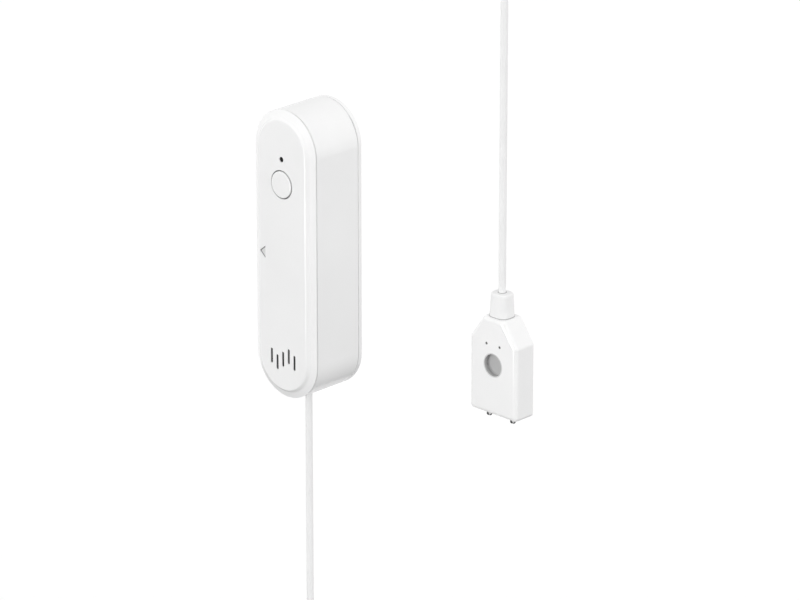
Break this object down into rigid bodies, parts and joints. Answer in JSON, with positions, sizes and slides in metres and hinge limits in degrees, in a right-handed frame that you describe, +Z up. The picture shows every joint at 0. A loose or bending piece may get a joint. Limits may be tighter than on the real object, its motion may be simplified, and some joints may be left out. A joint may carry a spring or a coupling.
{
  "type": "water leak detector",
  "caption": "Slim wall pod with a test button, sounder slots and a cord to a hanging probe whose base pins sense water on the floor.",
  "frame": {"origin": "centre of the pod's flat back, on the wall", "axes": "+Z up along the pod, +X to the right seen from the front, the front faces -Y"},
  "size_m": [0.247, 0.0248, 0.3696],
  "materials": {
    "white_plastic": "fine satin moulded white",
    "smoked_lens": "dark tinted light pipe",
    "grey_rubber": "soft silicone gasket",
    "black_rubber": "thin dark silicone ring",
    "foam_pad": "closed-cell foam with a sticky face",
    "board_green": "solder resist on glass laminate",
    "steel": "nickel plated steel",
    "black_plastic": "fine matte black",
    "led_body": "milky resin",
    "ivory_plastic": "plain nylon",
    "cell_sleeve": "shrink sleeve over a steel can",
    "white_rubber": "smooth soft white jacket",
    "grey_plastic": "plain grey moulding",
    "dark_contact": "dark plated metal",
    "bright_pin": "bright plated brass"
  },
  "bodies": {
    "pod": {"main_housing": "white_plastic", "rear_plate": "white_plastic", "mount_pad": "foam_pad", "cover_seal": "grey_rubber", "circuit_board": "board_green", "board_screws": "steel", "tact_switch": "black_plastic", "indicator_led": "led_body", "sounder": "black_plastic", "radio_module": "steel", "cord_connector": "ivory_plastic", "battery_holder": "black_plastic", "battery_cells": "cell_sleeve", "contact_plates": "steel", "contact_springs": "steel", "cord_grommet": "white_rubber", "cord_lead": "white_rubber", "sensor_cord": "white_rubber", "probe_body": "white_plastic", "recess_cup": "grey_plastic", "drip_contacts": "dark_contact", "probe_pins": "bright_pin", "cord_collar": "white_rubber", "cord_clip_1": "white_plastic", "cord_clip_2": "white_plastic"},
    "cover": {"front_cover": "white_plastic", "indicator_lens": "smoked_lens", "sounder_screen": "black_plastic", "button_gasket": "black_rubber"},
    "button": {"test_button": "white_plastic"}
  },
  "joints": [
    {"name": "cover_lift", "type": "slide", "parent": "pod", "child": "cover", "axis": [0, -1, 0], "range_m": [0, 0.015]},
    {"name": "button_press", "type": "slide", "parent": "cover", "child": "button", "axis": [0, 1, 0], "range_m": [0, 0.0005], "stiffness_N_per_m": 2000, "springref_m": -0.0005}
  ]
}
